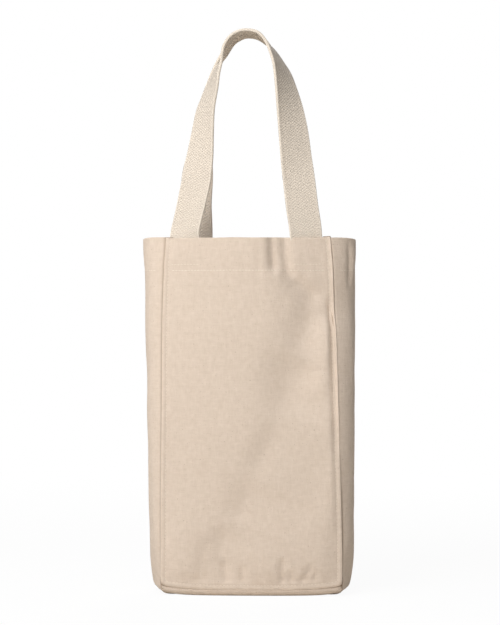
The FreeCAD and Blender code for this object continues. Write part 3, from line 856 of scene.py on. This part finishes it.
def outline(turn, level, at_panel, at_gusset):
    """A place on the bag's outline: turn runs 0 to 4, one for each wall, front first."""
    wall, share = int(turn) % 4, (turn % 1) * 2 - 1
    half, deep, bow, bulge = section(round(max(level, 9.0), 1))
    blend = 1 - abs(share) ** 3
    corner = at_panel + 1.2
    if wall % 2 == 0:
        inset = at_panel * blend + corner * (1 - blend)
        x, y = half * share, -deep - bow * (1 - share * share)
        x, y = x * (1 - inset * abs(share) ** 5 / half), y + inset
    else:
        inset = at_gusset * blend + corner * (1 - blend)
        x, y = half + bulge * (1 - share * share), deep * share
        x, y = x - inset, y * (1 - inset * abs(share) ** 5 / deep)
    return (x, y) if wall < 2 else (-x, -y)


print("lowest ring in front:", [round(v, 1) for v in outline(0.5, *TRAY_RINGS[-1])])


# %% Tray
def tray_place(around, ring):
    """A place on the tray: the rings of its wall first, then rings that shrink over the floor."""
    turn = around / TRAY_STEPS * 4
    inner = ring - len(TRAY_RINGS)
    level, at_panel, at_gusset = TRAY_RINGS[min(ring, len(TRAY_RINGS) - 1)]
    scale = FLOOR_SCALES[inner] if inner >= 0 else 1.0
    x, y = outline(turn % 4, level, at_panel, at_gusset)
    share = abs((turn % 1) * 2 - 1)
    lift = 2.4 * share ** 6 * scale ** 8 * (1 if level < 9 else 0)
    return stand(x * scale, y * scale, level + lift)


def tray_cut(around, ring):
    """The flat place: the floor as it lies, and the wall unrolled beside it."""
    p = tray_place(around, ring) / MM
    if ring > LAST_WALL_RING:
        return p.x + FLOOR_ON_ROLL, p.y
    return around * TRAY_STEP, p.z + WALL_ON_ROLL


# A band of painted shade runs round the tray about 7 to 10 mm up, along the panels' lower edges.
tray = sewn("bottom_cloth", list(range(TRAY_STEPS + 1)),
            list(range(len(TRAY_RINGS) + len(FLOOR_SCALES)))[::-1],
            lambda c, r: tray_place(-c % TRAY_STEPS, r), canvas, cut=tray_cut,
            painted_shade=lambda c, r: 0.5 * bell(r, 3.0, 1.2))
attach(tray, "bag")
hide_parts("bottom_panel")

# %% [markdown]
# ## Divider
# A single sheet keeps the two bottles apart. Its foot is turned along the tray and sewn down,
# and small tabs at its top corners are caught in the hems of the panels. It could be a flat
# plane, but then it would cut through the folds of the panels, so its edges follow them.

# %% Divider sheet
DIVIDER_TOP, DIVIDER_HALF, DIVIDER_GAP, DIVIDER_FOLD = 327.0, 52, 3.2, 0.6


def divider_place(across, up):
    """A place on the divider: across from -1 to 1, and past that on the tabs."""
    tab, across = max(0.0, abs(across) - 1) * DIVIDER_HALF, max(-1.0, min(1.0, across))
    level, lower = turned(max(up, 0.0), -5, DIVIDER_TOP, DIVIDER_FOLD)
    _, deep, bow, _ = section(round(max(level, 0.0), 1))
    pressed = panel_relief("front" if across < 0 else "back", 0.0, 0.0, level)
    reach = deep + bow - DIVIDER_GAP + min(0.0, pressed)
    wave = 1.6 * noise.noise(Vector((across * 1.6, level / 70, 12))) * (1 - abs(across) ** 4)
    x = wave * ease(4, 40, level) - lower + tab
    z = level + 1.2 - 5.0 * (1 - across * across) * ease(250, DIVIDER_TOP, level)
    if up < 0:
        x, z = -up, 1.6 + 0.4 * noise.noise(Vector((across * 3, up / 6, 5)))
    return stand(x, across * reach, z)


tab_columns = [1 + i * 2 / DIVIDER_HALF for i in range(1, 6)]
divider_columns = [-c for c in tab_columns[::-1]] + [i / 24 - 1 for i in range(49)] + tab_columns
divider_rows = spaced((-10, 1), (-2, 0.5), (3, 1), (12, 5), (316, 1), (324, 0.4), (330, 2), (338, 2))
divider = sewn("divider_cloth", divider_columns, divider_rows, divider_place, canvas,
               cut=lambda c, r: (c * DIVIDER_HALF + DIVIDER_ON_ROLL, r),
               keep=lambda c, r: abs(c) < 1 or HEM < r < DIVIDER_TOP)
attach(divider, "bag")
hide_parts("divider")

# %% [markdown]
# ## Handles
# Each handle is one length of webbing. Its ends lie flat inside the hem, and the loop turns
# edge-on towards its top, because both ends face forward while the top lies across the hand.
# A bevelled curve with tilts could give such a tape, but rings laid one by one also carry the
# place on the flat tape in metres. Rows give the middle line and the turn of the face, read
# from left to right, and the rings follow them.

# %% Middle lines of the loops
# across, height, turn of the face in degrees
FRONT_LOOP = [
    (-62, 352, 23), (-59.2, 367, 26), (-56, 381, 24), (-53.8, 392, 23), (-51.1, 405, 21),
    (-49.3, 417, 25), (-47.7, 429, 30), (-45.3, 452.6, 43), (-42.6, 476.5, 53), (-39.3, 488.5, 60),
    (-36, 500.5, 65), (-32.6, 512.5, 74), (-28.5, 524, 80), (-25, 532, 93), (-20.5, 541.8, 98),
    (-13.8, 549.5, 98), (-3, 553.4, 97), (8, 551.9, 97), (14.6, 547.2, 94), (18.4, 543, 90),
    (21.3, 539.6, 86), (25.6, 532, 80), (29.4, 524, 75), (34, 512, 63), (36.8, 500, 55),
    (39.3, 488, 47), (41.5, 476, 39), (45, 452, 27), (47.6, 428.3, 20), (50.7, 404.5, 10),
    (53.5, 381, 9), (56.8, 360, 10), (57.6, 352, 11)]
BACK_LOOP = [
    (-57, 352, 8), (-56.8, 368, -5), (-57, 385, -12), (-56.4, 405, 2), (-54, 430, 38), (-51, 452, 57),
    (-48.5, 476, 68), (-42.5, 500, 79), (-34.6, 524, 88), (-24, 543, 92), (-12, 552.8, 92),
    (0, 556.4, 92), (11, 553.2, 92), (19.4, 543.2, 90), (28, 524, 80), (36, 500, 66), (40.6, 476, 52),
    (43.4, 452, 42), (45.5, 430, 32), (47.8, 405, 22), (51, 382, 15), (54.4, 352, 12)]
END_LEVELS, END_DEPTH, LOOP_FOOT, LOOP_RISE = (316, 325, 335, 345), 3.5, 345, 210
TOP_APART = 16.6  # from the middle of the bag to each handle's top


def sewn_end(side, x):
    """Rows of (place, turn in degrees) up one end of the webbing, inside the hem."""
    rows = []
    for level in END_LEVELS:
        half, _, bow, _ = section(level)
        radius = bow_radius(half, bow)
        yaw = math.degrees(math.asin(x / radius))
        share = yaw / math.degrees(math.asin(half / radius)) * (1 if side == "front" else -1)
        rows.append((panel_surface(side, share, level, END_DEPTH) / MM, abs(yaw)))
    return rows


def loop_rows(side, loop):
    """The rows of a whole handle: the sewn ends first and last, the loop between them."""
    first, last = sewn_end(side, loop[0][0]), sewn_end(side, loop[-1][0])[::-1]
    base = (first[-1][0].y + last[0][0].y) / 2
    lean = (-TOP_APART if side == "front" else TOP_APART) - base
    middle = [(Vector((x, base + lean * ((z - LOOP_FOOT) / LOOP_RISE), z)), turn) for x, z, turn in loop]
    return first + middle + last


print("rows in the front handle:", len(loop_rows("front", FRONT_LOOP)))

# %% Rings along the webbing
RING_STEP, SMOOTHINGS = 2.6, 3


def webbing_rings(side, loop):
    """Run, place, width direction and face direction at even steps along one handle."""
    rows = loop_rows(side, loop)
    run = [0.0]
    for (a, _), (b, _) in zip(rows, rows[1:]):
        run.append(run[-1] + (b - a).length)
    tracks = [[(s, p[axis]) for s, (p, _) in zip(run, rows)] for axis in range(3)]
    turns = [(s, turn) for s, (_, turn) in zip(run, rows)]
    steps = round(run[-1] / RING_STEP)
    rings = []
    for i in range(steps + 1):
        s = run[-1] * i / steps
        rings.append([s, Vector([along(track, s) for track in tracks]), along(turns, s)])
    for _ in range(SMOOTHINGS):
        for a, b, c in zip(rings, rings[1:], rings[2:]):
            b[1], b[2] = (a[1] + 2 * b[1] + c[1]) / 4, (a[2] + 2 * b[2] + c[2]) / 4
    way = 1 if side == "front" else -1
    out = []
    for i, (s, p, turn) in enumerate(rings):
        t = (rings[min(i + 1, steps)][1] - rings[max(i - 1, 0)][1]).normalized()
        front = Vector((0, -way, 0))
        front = (front - t * front.dot(t)).normalized()
        a = math.radians(turn)
        face = front * math.cos(a) + front.cross(t) * way * math.sin(a)
        out.append((s, p, t.cross(face), face))
    return out


handle_rings = {"front": webbing_rings("front", FRONT_LOOP), "back": webbing_rings("back", BACK_LOOP)}
for side, rings in handle_rings.items():
    print(side, "webbing length", round(rings[-1][0]), "mm")

# %% Front and back handle
WEB_WIDTH, WEB_THICK, WEB_EDGE, FACE_STEPS = 32.0, 2.0, 1, 14


def web_profile():
    """Once round the tape's section: two flat faces between rounded selvedges."""
    half, thick = WEB_WIDTH / 2, WEB_THICK / 2
    flat = WEB_WIDTH - 2 * WEB_EDGE
    ring = [(-half + WEB_EDGE + flat * i / FACE_STEPS, thick) for i in range(FACE_STEPS + 1)]
    for degrees in (30, 60, 90, 120, 150):
        a = math.radians(degrees)
        ring.append((half - WEB_EDGE + WEB_EDGE * math.sin(a), thick * math.cos(a)))
    return ring + [(-w, -n) for w, n in ring] + [ring[0]]


PROFILE = web_profile()


def web_place(rings, c, r):
    """A place on the tape, whose selvedges are a little thicker than its middle."""
    _, p, wide, face = rings[r]
    w, n = PROFILE[c]
    thicker = 1.0 + 0.5 * bell(abs(w), 15.4, 1.2)
    return (p + wide * w + face * (n * thicker)) * MM


handles = {}
for side, rings in handle_rings.items():
    handles[side] = sewn(f"{side}_handle_webbing", list(range(len(PROFILE))), list(range(len(rings))),
                         lambda c, r, rings=rings: web_place(rings, c, r), webbing,
                         ply=0, closed=True, cut=lambda c, r, rings=rings: (PROFILE[c][0], rings[r][0]))
    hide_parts(f"{side}_handle", f"{side}_left_strap_end", f"{side}_right_strap_end")
    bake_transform(handles[side])

# %% [markdown]
# ## Stitching
# Every row is made of single stitches. A dashed line could be painted on the cloth, but real
# stitches catch the light, so each is a small spindle of thread that lies in the groove that it
# has pulled. A stitch has few faces, because there are hundreds of them.

# %% Stitch rows
STITCH, STITCH_RISE, STITCH_SUNK, STITCH_SHARE = 3.3, 0.3, 0.08, 0.44
# half widths of a stitch
SEAM_THREAD, HEM_THREAD, STRAP_THREAD, FOOT_THREAD = 0.28, 0.5, 0.3, 0.36
STEP_ASIDE = 0.6  # to the neighbours that show which way a surface faces


def stitch_rows(name, rows, node, thick):
    """rows holds lists of (place, outward direction) along each row, a stitch between each two."""
    bm = bmesh.new()
    layer = bm.loops.layers.uv.new("cut")
    made = 0
    for row in rows:
        for (a, out), (b, _) in zip(row, row[1:]):
            run = b - a
            way = run.normalized()
            side = way.cross(out).normalized()
            out = side.cross(way)
            size = Matrix.Diagonal((thick * MM, STITCH_RISE * MM, run.length * STITCH_SHARE, 1))
            turn = Matrix((side, out, way)).transposed().to_4x4()
            move = Matrix.Translation((a + b) / 2 - out * STITCH_SUNK * MM)
            bmesh.ops.create_uvsphere(bm, u_segments=6, v_segments=5, radius=1, matrix=move @ turn @ size)
            made += 1
    for face in bm.faces:
        face.smooth = True
        for loop in face.loops:
            loop[layer].uv = (loop.vert.co.x + loop.vert.co.y, loop.vert.co.z)
    piece = linked(name, bm, thread)
    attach(piece, "bag")
    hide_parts(node)
    print(name, made, "stitches")


def on_cloth(surface, side, half, c, z):
    """A place on a panel or a gusset, and the way it faces there."""
    p = surface(side, c / half, z, 0)
    across = surface(side, (c + STEP_ASIDE) / half, z, 0) - p
    upward = surface(side, c / half, z + STEP_ASIDE, 0) - p
    return p, across.cross(upward).normalized()


def on_panel(side, x, z):
    """A place for a stitch on a panel."""
    return on_cloth(panel_surface, side, HALF_CUT, x, z)


def on_gusset(side, c, z):
    """A place for a stitch on a gusset."""
    return on_cloth(gusset_surface, side, HALF_GUSSET, c, z)


print("a stitch every", STITCH, "mm")

# %% Stitches of the panels
STRAP_ENDS, STRAP_ROW, STRAP_HALF = {"front": (-66, 62), "back": (-60, 62)}, HEM + 6, 15
HEM_SHORT = 4  # how far a hem row stops before the side rows
inset, foot_row = HALF_CUT - SEAM_INSET, FOOT + SEAM_INSET
up = spaced((foot_row, STITCH), (RIM - 2, STITCH))
over = spaced((-inset, STITCH), (inset, STITCH))
hem_over = spaced((-inset + HEM_SHORT, STITCH), (inset - HEM_SHORT, STITCH))
for side in ("front", "back"):
    edges = [[on_panel(side, -inset, z) for z in up], [on_panel(side, x, foot_row) for x in over],
             [on_panel(side, inset, z) for z in up]]
    stitch_rows(f"{side}_panel_topstitch", edges, f"{side}_panel_stitching", SEAM_THREAD)
    hem = [on_panel(side, x, HEM) for x in hem_over]
    stitch_rows(f"{side}_hem_topstitch", [hem], f"{side}_hem_stitching", HEM_THREAD)
    tacks = []
    for end in STRAP_ENDS[side]:
        tack = spaced((end - STRAP_HALF, STITCH), (end + STRAP_HALF, STITCH))
        tacks.append([on_panel(side, x, STRAP_ROW) for x in tack])
    stitch_rows(f"{side}_strap_topstitch", tacks, f"{side}_strap_tacks", STRAP_THREAD)

# %% Stitches of the gussets and the divider
GUSSET_ROW, DIVIDER_ROW, DIVIDER_FOOT = 46, 41, (5, 2.4)
over = spaced((-GUSSET_ROW, STITCH), (GUSSET_ROW, STITCH))
hems = [[on_gusset(side, c, HEM) for c in over] for side in ("left", "right")]
stitch_rows("gusset_hem_topstitch", hems, "gusset_hem_stitching", SEAM_THREAD)
x, z = DIVIDER_FOOT
over = spaced((-DIVIDER_ROW, STITCH), (DIVIDER_ROW, STITCH))
foot = [(stand(x, y, z), Vector((0, 0, 1))) for y in over]
stitch_rows("divider_topstitch", [foot], "divider_stitching", FOOT_THREAD)

# %% [markdown]
# ## The sides of the carrier
# The last cell goes over the two panels and the two gussets, and leaves them as they are.

# %% Two loops over the sides, which change nothing
for side in ("front", "back"):
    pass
for side in ("left", "right"):
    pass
